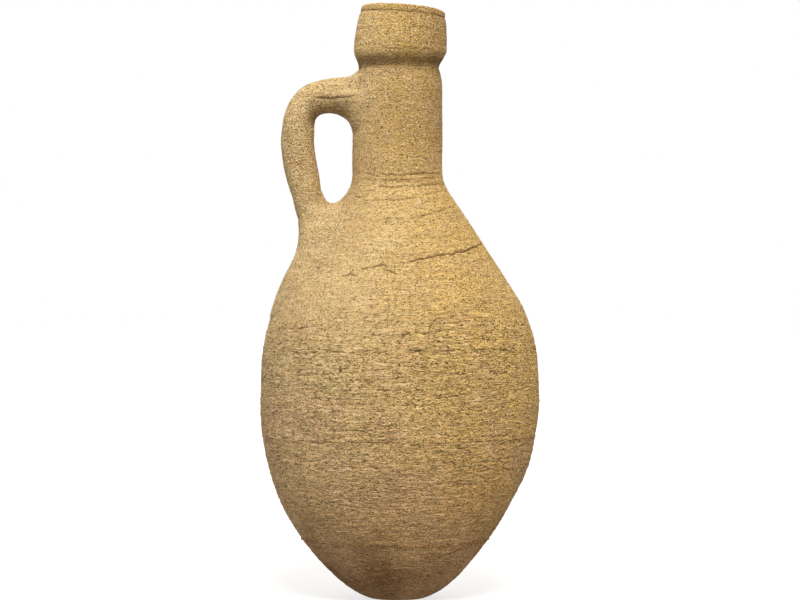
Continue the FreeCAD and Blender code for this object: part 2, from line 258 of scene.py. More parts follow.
# Centre line of the strap: x, z and thickness, from inside the neck to inside the shoulder.
STRAP = np.array([
    (-32.0, 423.6, 31.0),
    (-45.0, 423.1, 29.8),
    (-55.0, 423.0, 29.0),
    (-64.0, 421.8, 28.2),
    (-71.3, 419.8, 28.0),
    (-77.4, 415.6, 27.4),
    (-82.6, 408.2, 27.0),
    (-85.2, 397.0, 27.0),
    (-86.0, 384.0, 27.4),
    (-84.4, 369.0, 27.6),
    (-81.2, 352.0, 26.6),
    (-76.8, 334.0, 25.0),
    (-71.5, 316.0, 25.0),
    (-66.5, 299.0, 26.0),
    (-63.5, 280.0, 26.0),
    (-63.0, 260.0, 26.0),
    (-63.0, 240.0, 26.0),
])
STRAP_WIDTH = 35.0
SQUARENESS = 2.35       # 2 is an ellipse, more is boxier


def spline(points, per_span):
    """A smooth curve through all the points."""
    padded = np.vstack([2 * points[0] - points[1], points, 2 * points[-1] - points[-2]])
    share = np.linspace(0.0, 1.0, per_span, endpoint=False)[:, None]
    spans = []
    for a, b, c, d in zip(padded, padded[1:], padded[2:], padded[3:]):
        turn = 2 * a - 5 * b + 4 * c - d
        twist = -a + 3 * b - 3 * c + d
        spans.append(0.5 * (2 * b + (c - a) * share + turn * share**2 + twist * share**3))
    return np.vstack(spans + [points[-1:]])


strap_line = spline(STRAP, 24)
strap_run = np.gradient(strap_line[:, :2], axis=0)
strap_run /= np.linalg.norm(strap_run, axis=1, keepdims=True)
strap_out = np.stack([strap_run[:, 1], -strap_run[:, 0]], axis=1)
strap_length = np.concatenate(
    [[0.0], np.cumsum(np.hypot(*np.diff(strap_line[:, :2], axis=0).T))]
)
STRAP_HIDDEN_END = strap_length[-1] - 66.0
ROOT_FLARE_TOP = 326.0
ROOT_FLARE_BASE = 248.0


def strap_distance(spots, flared):
    """How far points lie outside the strap, or outside the strap with its lower end flared."""
    flat = spots[..., [0, 2]].reshape(-1, 2)
    nearest = np.empty(len(flat), int)
    for first in range(0, len(flat), 20000):
        gap = flat[first : first + 20000, None, :] - strap_line[None, :, :2]
        nearest[first : first + 20000] = np.argmin((gap**2).sum(-1), axis=1)
    nearest = nearest.reshape(spots.shape[:-1])
    away = spots[..., [0, 2]] - strap_line[nearest, :2]
    outward = np.sum(away * strap_out[nearest], axis=-1)
    along = np.sum(away * strap_run[nearest], axis=-1)
    grow = 0.0
    if flared:
        grow = ramp(strap_line[nearest, 1], ROOT_FLARE_TOP, ROOT_FLARE_BASE)
    thick = strap_line[nearest, 2] / 2.0 + 22.0 * grow
    wide = STRAP_WIDTH / 2.0 + 16.0 * grow
    u = np.abs(outward) / thick
    v = np.abs(spots[..., 1]) / wide
    size = np.maximum((u**SQUARENESS + v**SQUARENESS) ** (1.0 / SQUARENESS), 1e-6)
    climb_u = (u / size) ** (SQUARENESS - 1.0) / thick
    climb_v = (v / size) ** (SQUARENESS - 1.0) / wide
    side = (size - 1.0) / np.sqrt(climb_u**2 + climb_v**2)
    return np.where(np.abs(along) > 1.5, np.hypot(np.maximum(side, 0.0), along), side)


# ---------------------------------------------------------------- the clay's relief

# Cracks and drag lines on the front: (x, z) points, depth, width, how broken up (0 to 1).
MARKS = [
    ([(6.0, 282.0), (22.0, 285.0), (45.0, 289.0), (58.0, 293.0), (71.0, 298.0)], 1.6, 0.7, 0.10),
    ([(-33.0, 275.5), (-25.0, 277.5), (-13.0, 279.0), (-8.0, 278.5)], 1.3, 0.55, 0.0),
    ([(-15.0, 276.0), (-8.0, 274.5), (0.0, 272.0)], 1.3, 0.55, 0.0),
    ([(-8.0, 279.5), (8.0, 282.5)], 0.6, 0.6, 0.2),
    ([(-48.0, 270.0), (-41.0, 272.0), (-34.0, 269.5)], 1.2, 0.6, 0.0),
    ([(12.0, 299.0), (34.0, 302.0), (56.0, 308.0)], 0.8, 0.7, 0.6),
    ([(-93.0, 206.0), (-60.0, 209.0), (-20.0, 208.5), (40.0, 209.5), (106.0, 211.0)], 0.8, 0.6, 0.85),
    ([(-104.0, 226.0), (-84.0, 229.0), (-60.0, 227.0)], 0.8, 0.7, 0.7),
    ([(-40.0, 222.0), (0.0, 222.5), (48.0, 226.0), (96.0, 233.0)], 0.7, 0.6, 0.8),
    ([(-72.0, 171.5), (-54.0, 169.5), (-32.0, 167.0)], 0.8, 0.6, 0.5),
    ([(-60.0, 145.0), (-31.0, 145.5), (-3.0, 150.5)], 0.7, 0.6, 0.5),
    ([(-8.0, 132.0), (8.0, 134.0), (17.0, 136.5)], 0.7, 0.6, 0.4),
    ([(-74.0, 50.0), (-62.0, 44.0), (-50.0, 40.0)], 0.6, 0.7, 0.6),
    ([(31.0, 39.0), (50.0, 46.0), (67.0, 54.0)], 0.7, 0.7, 0.6),
    ([(-34.0, 356.0), (-10.0, 354.0), (20.0, 355.5), (36.0, 357.0)], 0.9, 0.7, 0.3),
    ([(-24.0, 351.0), (6.0, 350.5), (34.0, 352.5)], 0.8, 0.7, 0.4),
    ([(-20.0, 345.5), (4.0, 344.5), (38.0, 347.5)], 0.9, 0.7, 0.3),
    ([(4.0, 476.0), (14.0, 477.5), (28.0, 477.0)], 0.7, 0.7, 0.3),
    ([(-38.0, 478.5), (-24.0, 477.0), (-12.0, 478.5)], 0.6, 0.7, 0.4),
    ([(-22.0, 460.0), (2.0, 458.5), (30.0, 460.0)], 0.6, 0.7, 0.5),
    ([(-38.0, 336.0), (-15.0, 333.0), (10.0, 335.0), (42.0, 343.0)], 0.8, 0.7, 0.45),
    ([(-14.0, 317.0), (8.0, 318.0), (30.0, 323.0), (50.0, 331.0)], 0.8, 0.7, 0.5),
]


def marks(spots):
    """Depth of the cracks and drag lines at points on the front of the wall."""
    depth = np.zeros(spots.shape[:-1])
    front = ramp(spots[..., 1], 0.0, -10.0)
    across = spots[..., 0]
    wander = break_up(spots, 9.0) * 1.3 + break_up(spots, 2.6) * 0.5
    for line, deep, width, broken in MARKS:
        line = np.array(line)
        height = np.interp(across, line[:, 0], line[:, 1]) + wander
        span = ramp(across, line[0, 0] - 1.0, line[0, 0] + 4.0)
        span = span * ramp(across, line[-1, 0] + 1.0, line[-1, 0] - 4.0)
        held = ramp(break_up(spots + 70.0, (11.0, 11.0, 30.0)), broken - 1.0, broken - 0.4)
        depth += deep * bell(spots[..., 2], height, width) * span * held * front
    return depth


def coarseness(spots):
    """How rough the clay is: calm on the neck and handle, torn on the belly, smoothed at the foot."""
    height = spots[..., 2]
    by_height = np.interp(
        height,
        [0.0, 30.0, 70.0, 110.0, 190.0, 218.0, 245.0, 290.0, 350.0, 500.0],
        [0.45, 0.75, 0.95, 1.0, 1.0, 0.95, 0.66, 0.50, 0.30, 0.28],
    )
    wiped = ramp(spots[..., 0], 30.0, -40.0) * bell(height, 265.0, 45.0)
    patchy = 1.0 + 0.2 * swell(spots + 300.0, 34.0)
    return by_height * (1.0 - 0.45 * wiped) * patchy


def relief(spots, on_handle=0.0):
    """Relief of the clay's skin at points in mm, how much painted shade each takes in its pits, cracks
    and terrace steps, and how rough each is.
    """
    rough = coarseness(spots) * (1.0 - on_handle) + HANDLE_ROUGHNESS * on_handle
    lined = spots.copy()
    lined[..., 2] += 1.8 * swell(spots + 90.0, 26.0) - 0.05 * spots[..., 0]
    sheet = stroke(lined, (18.0, 18.0, 2.6))
    ripple = stroke(lined + 150.0, (6.0, 6.0, 1.7))
    tear = dent(lined, (4.0, 4.0, 1.6))
    pits_and_shade = ramp(tear + 0.3 * ripple, 0.42, 0.90)
    lumps = grit(spots, 4.2)
    grains = grit(spots + 40.0, 1.9)
    cracks = marks(spots) * (1.0 - on_handle)
    height = (0.15 * np.tanh(5.0 * sheet) + 0.15 * np.tanh(4.0 * ripple)) * rough
    height -= 0.40 * pits_and_shade * rough
    height += 0.12 * lumps + 0.17 * grains
    height -= cracks
    # Painted shade: a thin line along each terrace step, together with the pits and the cracks.
    edges = 0.3 * bell(sheet, 0.0, 0.08)
    painted_shade = np.clip((0.6 * pits_and_shade + edges) * rough + np.minimum(cracks, 1.0), 0.0, 1.0)
    return height, np.stack([painted_shade, rough], axis=-1)


# ---------------------------------------------------------------- mesh making


def grid_normals(grid):
    """Outward normals of a grid of points: rows run along the outline, columns round the axis."""
    along = np.gradient(grid, axis=0)
    around = np.roll(grid, -1, axis=1) - np.roll(grid, 1, axis=1)
    normal = np.cross(around, along)
    size = np.linalg.norm(normal, axis=-1, keepdims=True)
    return normal / np.maximum(size, 1e-9)


def make_piece(name, node, points, faces, skin, material, sharp=None):
    """A skin that stands for a CAD node. skin holds each point's painted shade and roughness."""
    quads, triangles = faces
    mesh = bpy.data.meshes.new(name)
    corners = np.concatenate([quads.reshape(-1), triangles.reshape(-1)]).astype(np.int32)
    sizes = np.concatenate([np.full(len(quads), 4), np.full(len(triangles), 3)])
    starts = np.concatenate([[0], np.cumsum(sizes)[:-1]]).astype(np.int32)
    mesh.vertices.add(len(points))
    mesh.vertices.foreach_set("co", (points * MM).astype(np.float32).reshape(-1))
    mesh.loops.add(len(corners))
    mesh.loops.foreach_set("vertex_index", corners)
    mesh.polygons.add(len(sizes))
    mesh.polygons.foreach_set("loop_start", starts)
    mesh.polygons.foreach_set("use_smooth", np.ones(len(sizes), bool))
    mesh.update(calc_edges=True)
    mesh.validate()
    for channel, word in enumerate(("painted_shade", "rough")):
        layer = mesh.attributes.new(word, "FLOAT", "POINT")
        layer.data.foreach_set("value", skin[:, channel].astype(np.float32))
    mark_sharp(mesh, sharp)
    mesh.materials.append(material)
    piece = bpy.data.objects.new(name, mesh)
    bpy.context.scene.collection.objects.link(piece)
    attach(piece, "root")
    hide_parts(node)


def grid_faces(rows, columns, closed):
    """Quads of a grid that wraps round its columns, and round its rows too when closed."""
    row = np.arange(rows if closed else rows - 1)[:, None]
    column = np.arange(columns)[None, :]
    right = (column + 1) % columns
    up = (row + 1) % rows
    faces = [row * columns + column, row * columns + right, up * columns + right, up * columns + column]
    return np.stack(np.broadcast_arrays(*faces), axis=-1).reshape(-1, 4)


def fan(rim, centre, flip):
    """Triangles from a ring of points to a centre point."""
    after = np.roll(rim, -1)
    middle = np.full_like(rim, centre)
    order = [rim, middle, after] if flip else [rim, after, middle]
    return np.stack(order, axis=1)


def mark_sharp(mesh, edges):
    """Keeps the shading crisp across some edges, given as pairs of point numbers."""
    if edges is None:
        return
    pairs = np.zeros(len(mesh.edges) * 2, np.int32)
    mesh.edges.foreach_get("vertices", pairs)
    pairs = np.sort(pairs.reshape(-1, 2), axis=1).astype(np.int64)
    wanted = np.sort(edges, axis=1)
    size = len(mesh.vertices)
    found = np.isin(pairs[:, 0] * size + pairs[:, 1], wanted[:, 0] * size + wanted[:, 1])
    layer = mesh.attributes.new("sharp_edge", "BOOLEAN", "EDGE")
    layer.data.foreach_set("value", found)


def grid_piece(name, node, grid, lift, skin, material, poles=None, sharp_rows=()):
    """A piece from a grid of points, moved out along their normals by lift."""
    rows, columns = grid.shape[:2]
    points = grid + grid_normals(grid) * lift[..., None]
    points = points.reshape(-1, 3)
    skin = skin.reshape(-1, 2)
    here = np.arange(columns)
    row_edges = np.stack([here, (here + 1) % columns], axis=1)
    sharp = [row * columns + row_edges for row in sharp_rows]
    sharp = np.concatenate(sharp) if sharp else None
    quads = grid_faces(rows, columns, poles is None)
    triangles = np.zeros((0, 3), int)
    if poles is not None:
        points = np.vstack([points, poles])
        skin = np.vstack([skin, np.zeros((len(poles), 2))])
        below = fan(here, rows * columns, True)
        above = fan(here + (rows - 1) * columns, rows * columns + 1, False)
        triangles = np.vstack([below, above])
    make_piece(name, node, points, (quads, triangles), skin, material, sharp)


# ---------------------------------------------------------------- the clay's material


class Graph:
    """A material's node tree, with its sockets joined by name."""

    def __init__(self, name):
        self.material = bpy.data.materials.new(name)
        self.material.use_nodes = True
        self.tree = self.material.node_tree
        self.tree.nodes.clear()

    def add(self, kind, inputs=None, **settings):
        """A node. inputs holds a socket or a plain value for each input, by its name or its place."""
        node = self.tree.nodes.new("ShaderNode" + kind)
        for key, value in settings.items():
            setattr(node, key, value)
        for key, value in (inputs or {}).items():
            if isinstance(value, bpy.types.NodeSocket):
                self.tree.links.new(value, node.inputs[key])
            else:
                node.inputs[key].default_value = value
        return node

    def flattened(self, where, times):
        """The same places, with everything drawn on them flatter by that many times."""
        return self.add("Mapping", {"Vector": where, "Scale": (1.0, 1.0, times)}).outputs["Vector"]

    def noise(self, where, size, detail=3.0, rough=0.55):
        """Noise from 0 to 1 whose features are about that many millimetres across."""
        inputs = {"Vector": where, "Scale": 1.0 / (size * MM), "Detail": detail, "Roughness": rough}
        return self.add("TexNoise", inputs).outputs["Fac"]

    def span(self, value, low, high, to_low=0.0, to_high=1.0):
        """A value's course from low to high, carried over to another range and held at its ends."""
        given = {"Value": value, "From Min": low, "From Max": high}
        wanted = {"To Min": to_low, "To Max": to_high}
        return self.add("MapRange", given | wanted, clamp=True).outputs["Result"]

    def mix(self, share, under, over):
        """One colour over another. The colour mix's inputs are told apart by their places."""
        return self.add("Mix", {0: share, 6: under, 7: over}, data_type="RGBA").outputs[2]

    def maths(self, operation, a, b=0.0):
        return self.add("Math", {0: a, 1: b}, operation=operation).outputs[0]

    def times(self, a, b):
        return self.maths("MULTIPLY", a, b)

    def off_middle(self, noise):
        """How far a noise is from its middle value."""
        return self.maths("ABSOLUTE", self.maths("SUBTRACT", noise, 0.5))

    def bump(self, height, depth, under=None):
        """A normal bumped by a height, depth in mm, over an earlier bump."""
        inputs = {"Height": height, "Strength": 1.0, "Distance": depth * MM}
        if under is not None:
            inputs["Normal"] = under
        return self.add("Bump", inputs).outputs["Normal"]

    def end_with(self, shader, output, inputs):
        """Ends the tree with its shader, and gives the material."""
        surface = self.add(shader, inputs).outputs[output]
        self.add("OutputMaterial", {"Surface": surface})
        return self.material


def colour(red, green, blue):
    return (red, green, blue, 1.0)


WHITE = colour(1.0, 1.0, 1.0)
PINK = colour(0.78, 0.48, 0.26)
OCHRE = colour(0.50, 0.295, 0.09)
RUST = colour(0.59, 0.28, 0.115)
BROWN = colour(0.18, 0.070, 0.010)
UMBER = colour(0.34, 0.175, 0.05)
SCRATCH_SHADE = colour(0.155, 0.078, 0.023)
DARK_GRIT_AND_SHADE = colour(0.13, 0.065, 0.02)
PALE_GRIT_AND_HIGHLIGHT = colour(1.0, 0.83, 0.53)
GOLDEN_BUFF = colour(0.87, 0.555, 0.16)
PALE_BUFF = colour(0.89, 0.63, 0.27)


def clay(name, base, pale):
    """Unglazed clay: buff with golden and pinkish drifts, brown towards the foot, painted shade in its
    pits and creases.
    """
    graph = Graph(name)
    where = graph.add("TexCoord").outputs["Object"]
    axes = graph.add("SeparateXYZ", {"Vector": where}).outputs
    painted_shade = graph.add("Attribute", attribute_name="painted_shade").outputs["Fac"]
    rough = graph.add("Attribute", attribute_name="rough").outputs["Fac"]
    drift = graph.noise(where, 60.0, 4.0)
    blotch = graph.noise(where, 17.0, 5.0, 0.6)
    sand = graph.noise(where, 4.5, 5.0, 0.7)
    gaps = graph.noise(where, 4.2, 2.0, 0.5)
    dots = graph.noise(where, 1.5, 1.0, 0.5)
    grain = graph.noise(graph.flattened(where, 1.9), 1.5, 2.0, 0.6)
    short = graph.noise(graph.flattened(where, 7.0), 9.5, 1.0, 0.5)
    long = graph.noise(graph.flattened(where, 8.0), 26.0, 1.0, 0.4)
    calm = graph.maths("SUBTRACT", 1.0, graph.times(rough, 0.65))

    # Scratches lie where a flattened noise crosses its middle value, break off at the gaps,
    # and fade towards the smoothed foot.
    score = graph.maths(
        "MAXIMUM",
        graph.span(graph.off_middle(short), 0.006, 0.027, 1.0, 0.0),
        graph.span(graph.off_middle(long), 0.004, 0.017, 1.0, 0.0),
    )
    score = graph.times(score, graph.times(graph.span(gaps, 0.42, 0.48), rough))
    score = graph.times(score, graph.span(axes["Z"], 0.08, 0.21, 0.55, 1.0))

    # The clay turns golden to the right, most of all on the neck, partly its own tone and partly
    # painted warm light; with pink blotches.
    golden = graph.maths("ADD", graph.span(axes["X"], -0.06, 0.06, -0.45, 0.45), drift)
    upper_right_shade = graph.times(
        graph.span(axes["Z"], 0.34, 0.39), graph.span(axes["X"], -0.03, 0.035, 0.0, 0.90)
    )
    golden = graph.maths("ADD", golden, upper_right_shade)
    tone = graph.mix(graph.span(golden, 0.1, 0.9), pale, base)
    # Painted shade in ochre on the right of the neck and upper shoulder.
    tone = graph.mix(upper_right_shade, tone, OCHRE)
    tone = graph.mix(graph.span(blotch, 0.45, 0.70, 0.0, 0.4), tone, PINK)
    rosy = graph.times(graph.span(drift, 0.46, 0.60, 0.0, 0.55), graph.span(axes["Z"], 0.27, 0.15))
    tone = graph.mix(rosy, tone, PINK)

    # Long ochre drags, then rust and brown towards the foot along an uneven edge, partly the clay's own
    # stain and partly painted shade of the down-facing lower body.
    low = graph.maths("ADD", axes["Z"], graph.span(drift, 0.3, 0.7, -0.035, 0.035))
    tone = graph.mix(graph.span(long, 0.50, 0.66, 0.0, 0.35), tone, OCHRE)
    tone = graph.mix(graph.span(low, 0.17, 0.04, 0.0, 0.45), tone, RUST)
    tone = graph.mix(graph.span(low, 0.065, 0.008, 0.0, 0.95), tone, BROWN)

    # Sand, pale flakes beside the scratches as a painted highlight, pale and dark grains, painted shade
    # in the scratches and in the pits.
    pale_grit_and_highlight = graph.mix(graph.span(low, 0.10, 0.0, 0.0, 0.75), PALE_GRIT_AND_HIGHLIGHT, RUST)
    # Painted highlight on the ledges beside the scratches.
    ledge_highlight = graph.times(graph.span(short, 0.55, 0.64, 0.0, 0.25), rough)
    specks = graph.times(graph.span(grain, 0.34, 0.46, 0.9, 0.0), calm)
    flecks = graph.times(graph.span(grain, 0.53, 0.65, 0.0, 0.95), calm)
    tone = graph.mix(graph.span(sand, 0.34, 0.50, 0.20, 0.0), tone, UMBER)
    tone = graph.mix(ledge_highlight, tone, pale_grit_and_highlight)
    tone = graph.mix(specks, tone, UMBER)
    tone = graph.mix(flecks, tone, pale_grit_and_highlight)
    tone = graph.mix(graph.span(dots, 0.29, 0.36, 0.9, 0.0), tone, DARK_GRIT_AND_SHADE)
    # Painted shade in the scratches.
    tone = graph.mix(score, tone, SCRATCH_SHADE)
    # Painted shade in the pits, cracks and creases, under the collar and under the arm, from the skin's
    # shade channel.
    tone = graph.mix(graph.span(painted_shade, 0.15, 1.0, 0.0, 0.75), tone, DARK_GRIT_AND_SHADE)

    steps = graph.maths("ADD", graph.span(short, 0.45, 0.55), graph.span(long, 0.46, 0.54))
    steps = graph.maths("SUBTRACT", graph.times(steps, rough), graph.times(score, 0.5))
    furrows = graph.bump(steps, 1.3)
    sanded = graph.bump(grain, 1.7, furrows)
    fine = graph.bump(dots, 1.4, sanded)
    return graph.end_with("BsdfPrincipled", "BSDF", {
        "Base Color": tone,
        "Roughness": graph.span(sand, 0.3, 0.7, 0.84, 0.97),
        "Normal": fine,
        "Specular IOR Level": 0.2,
    })


vessel_clay = clay("vessel_clay_fired", GOLDEN_BUFF, PALE_BUFF)
rim_clay = clay("rim_clay_fired", colour(1.0, 0.645, 0.15), colour(0.98, 0.695, 0.315))
handle_clay = clay("handle_clay_fired", colour(0.85, 0.567, 0.207), colour(0.872, 0.626, 0.281))


# ---------------------------------------------------------------- wall members


COLLAR_HEIGHT = 456.0
COLLAR_LEAN = math.radians(4.5)
COLLAR_WAIST = 33.4     # radius of the neck where the collar begins
COLLAR_SEAT = 35.0      # how far the lip's seat is above COLLAR_HEIGHT
LIP_TOP = 40.5
LIP_ROUND = 2.4
BORE_EDGE_WIDTH = 3.0   # the rounding from the lip's top down into the bore
BORE_EDGE_DEPTH = 3.4


def corner_rise(bearings):
    """Where the collar's lower corner lies: nearly level, although the collar leans."""
    return 1.5 + 2.6 * np.cos(bearings)


def collar_shade(spots):
    """Painted shade in the collar's crease below the lip, and painted shadow in the hollow under the
    collar.
    """
    drop = spots[..., 2] - COLLAR_HEIGHT
    rise = drop * math.cos(COLLAR_LEAN) + spots[..., 0] * math.sin(COLLAR_LEAN)
    under = rise - corner_rise(np.arctan2(spots[..., 1], spots[..., 0]))
    uneven = 0.9 + 0.25 * break_up(spots, 9.0)
    band = 1.1 * bell(under, -7.0, 5.5) + 0.35 * bell(under, -16.0, 8.0)
    return uneven * (band + 0.9 * ramp(rise, COLLAR_SEAT - 1.6, COLLAR_SEAT - 0.6))


def ring(radius, height, bearings, drifting=True):
    """A ring of points about the axis. radius and height are numbers or one value per bearing."""
    height = np.broadcast_to(height, bearings.shape)
    centre = stray(height) if drifting else 0.0
    across = centre + radius * np.cos(bearings)
    return np.stack([across, radius * np.sin(bearings), height], axis=-1)


def seam_wave(bearings, number):
    """How far a seam between two members strays up and down round the wall."""
    spots = np.stack([np.cos(bearings), np.sin(bearings), np.full_like(bearings, number)], axis=-1)
    return 1.1 * break_up(spots * 40.0, 17.0)


def outer_row(spot, bearings):
    """A row of the wall's outer face, at a distance along its outline."""
    radius, height = on_line(outer_along, outer_line, spot)
    return ring(radius + swelling(bearings, height), height, bearings)


def wall_member(number, name):
    """One member of the wall: its outer face, its tongue or spigot, then its inner face."""
    bearings = full_turn(COLUMNS[number])
    first = number == 0
    last = number == len(WALL) - 1
    below = 0.6 if first else along_at_height(outer_along, outer_line, top_of(WALL[number - 1]))
    above = outer_along[-1] if last else along_at_height(outer_along, outer_line, top_of(name))
    low = below + (0.0 if first else seam_wave(bearings, number))
    high = above + (0.0 if last else seam_wave(bearings, number + 1))
    count = int((above - below) / ROW_STEP)
    shares = np.linspace(0.0, 1.0, count)
    if first:
        shares = shares[(shares * above > FOOT_REACH) | (np.arange(count) % 4 == 0)]
    grid = [outer_row(low + (high - low) * share, bearings) for share in shares]
    rows = np.array(grid)
    bumps, pits_and_shade = relief(rows)
    if last:
        # Painted shadow on the top of the neck, under the collar.
        pits_and_shade[..., 0] += collar_shade(rows)
    if first:
        bumps = bumps * ramp(rows[..., 2], 0.0, 4.0)
    lift = list(bumps)
    skin = list(pits_and_shade)
    sharp_rows = [] if first else [0]
    sharp_rows.append(len(grid) - 1)
    blank = np.zeros(bearings.shape + (2,))
    if not last:
        for extra in (0.5, 1.0):
            row = outer_row(high + TONGUE_LENGTH * extra, bearings)
            bump, deep = relief(row)
            grid.append(row)
            lift.append(bump - TONGUE_SINK)
            skin.append(deep)
        inner_top = along_at_height(inner_along, inner_line, bottom_of(WALL[number + 1]))
    else:
        ledge = (spigot_radius, ledge_height)
        for radius, height in (ledge, (spigot_radius, spigot_height), (mouth_radius, spigot_height)):
            sharp_rows.append(len(grid))
            grid.append(ring(radius, height, bearings, False))
            lift.append(np.zeros_like(bearings))
            skin.append(blank)
        inner_top = inner_along[-1]
    inner_base = 4.0 if first else along_at_height(inner_along, inner_line, bottom_of(name))
    for spot in np.linspace(inner_top, inner_base, int((inner_top - inner_base) / INNER_STEP) + 2):
        row = ring(*on_line(inner_along, inner_line, spot), bearings, False)
        grid.append(row)
        lift.append(0.5 * stroke(row, (40.0, 40.0, 7.0)))
        skin.append(blank)
    poles = None
    if first:
        poles = np.array([(stray(0.0), 0.0, 0.0), (0.0, 0.0, inner_line[0, 1])])
    grid_piece(
        name + "_skin", name, np.array(grid), np.array(lift), np.array(skin),
        vessel_clay, poles, sharp_rows,
    )


for number, name in enumerate(WALL):
    wall_member(number, name)


# ---------------------------------------------------------------- collar and lip


def leaning(radius, rise, bearings):
    """Points in the collar's own frame, which leans so that its handle side is high."""
    across = radius * np.cos(bearings)
    x = across * math.cos(COLLAR_LEAN) + rise * math.sin(COLLAR_LEAN)
    z = COLLAR_HEIGHT - across * math.sin(COLLAR_LEAN) + rise * math.cos(COLLAR_LEAN)
    return np.stack([x, radius * np.sin(bearings), z], axis=-1)


def collar_radius(rise, bearings):
    """The collar's outline: a waist, a sloping underside, a corner, then a barrel."""
    barrel = np.interp(
        rise, [-4.0, 0.0, 5.0, 12.0, 20.0, 28.0, 35.0], [38.7, 39.0, 39.2, 39.1, 38.4, 37.4, 36.0]
    )
    underside = 38.3 + 0.50 * (rise - corner_rise(bearings))
    return soft_max(soft_min(barrel, underside, 1.0), COLLAR_WAIST, 1.6)


def bore_ring(height, bearings):
    return ring(mouth_radius, height, bearings, False)


def collar():
    """The collar: from its waist, up its barrel to the lip's seat, then down inside to its ledge."""
    bearings = full_turn(RIM_COLUMNS)
    start = ledge_height - COLLAR_HEIGHT + COLLAR_WAIST * np.cos(bearings) * math.sin(COLLAR_LEAN)
    start = start / math.cos(COLLAR_LEAN) - 1.4
    shares = np.linspace(0.0, 1.0, 52)
    grid = []
    for share in shares:
        rise = start + (COLLAR_SEAT + 0.4 - start) * share
        spots = np.stack([np.cos(bearings) * 36.0, np.sin(bearings) * 36.0, rise + 500.0], axis=-1)
        wave = 0.5 * swell(spots, 26.0) + 0.35 * swell(spots, 11.0) * ramp(rise, 8.0, -2.0)
        torn = 0.35 + 0.9 * ramp(break_up(spots, 14.0), -0.5, 0.5)
        crease = 0.9 * torn * ramp(rise, COLLAR_SEAT - 1.5, COLLAR_SEAT - 0.3)
        grid.append(leaning(collar_radius(rise, bearings) + wave - crease, rise, bearings))
    outer = np.array(grid)
    bumps, pits_and_shade = relief(outer)
    # Painted shadow on the collar's underside, and painted shade in the crease below the lip.
    pits_and_shade[..., 0] += collar_shade(outer)
    face = ramp(shares, 1.0, 0.97)
    lift = list(bumps * face[:, None])
    skin = list(pits_and_shade)
    inner = [leaning(mouth_radius + 0.2, COLLAR_SEAT, bearings)]
    for height in (484.0, 478.0, spigot_height):
        inner.append(bore_ring(height, bearings))
    inner.append(ring(spigot_radius, spigot_height, bearings, False))
    inner.append(ring(spigot_radius, ledge_height + 0.2, bearings, False))
    sharp_rows = [0, len(outer) - 1, len(outer)]
    sharp_rows += range(len(outer) + len(inner) - 3, len(outer) + len(inner))
    for row in inner:
        grid.append(row)
        lift.append(np.zeros_like(bearings))
        skin.append(np.zeros(bearings.shape + (2,)))
    grid_piece(
        "rim_collar_skin", "rim_collar", np.array(grid), np.array(lift), np.array(skin),
        rim_clay, None, sharp_rows,
    )


def lip():
    """The lip band: from its crease, round the edge, over the top and down into the bore."""
    bearings = full_turn(RIM_COLUMNS)
    spots = np.stack([np.cos(bearings), np.sin(bearings), np.zeros_like(bearings)], axis=-1) * 36.0
    uneven = 0.7 * swell(spots + 20.0, 24.0) + 0.25 * swell(spots, 7.0)
    outline = [(34.0, 34.8), (35.2, 34.9), (35.6, 35.4), (35.7, 36.4), (35.6, 37.4)]
    for angle in np.linspace(0.0, math.radians(90.0), 8):
        rise = LIP_TOP - LIP_ROUND + LIP_ROUND * math.sin(angle)
        outline.append((33.1 + LIP_ROUND * math.cos(angle), rise))
    grid = []
    for radius, rise in outline:
        height = rise + uneven * ramp(rise, COLLAR_SEAT, LIP_TOP)
        grid.append(leaning(radius + 0.25 * uneven, height, bearings))
    crown = grid[-1]
    level = crown[..., 2] + 0.1
    edge = bore_ring(level, bearings)
    for share in (0.14, 0.28, 0.42, 0.56):
        grid.append(crown + (edge - crown) * share)
    for turn in np.linspace(0.0, math.radians(90.0), 7):
        radius = mouth_radius + BORE_EDGE_WIDTH * (1.0 - math.sin(turn))
        drop = BORE_EDGE_DEPTH * (1.0 - math.cos(turn))
        grid.append(ring(radius, level - drop, bearings, False))
    top_rows = len(grid)
    start = level - BORE_EDGE_DEPTH
    low = leaning(mouth_radius, COLLAR_SEAT, bearings)[..., 2]
    for share in (0.35, 0.7, 1.0):
        grid.append(bore_ring(start + (low - start) * share, bearings))
    grid = np.array(grid)
    bumps, pits_and_shade = relief(grid)
    bumps[top_rows:] *= 0.3
    bumps[0] = 0.0
    grid_piece("rim_lip_skin", "rim_lip", grid, bumps, pits_and_shade, rim_clay)


collar()
lip()


# ---------------------------------------------------------------- handle


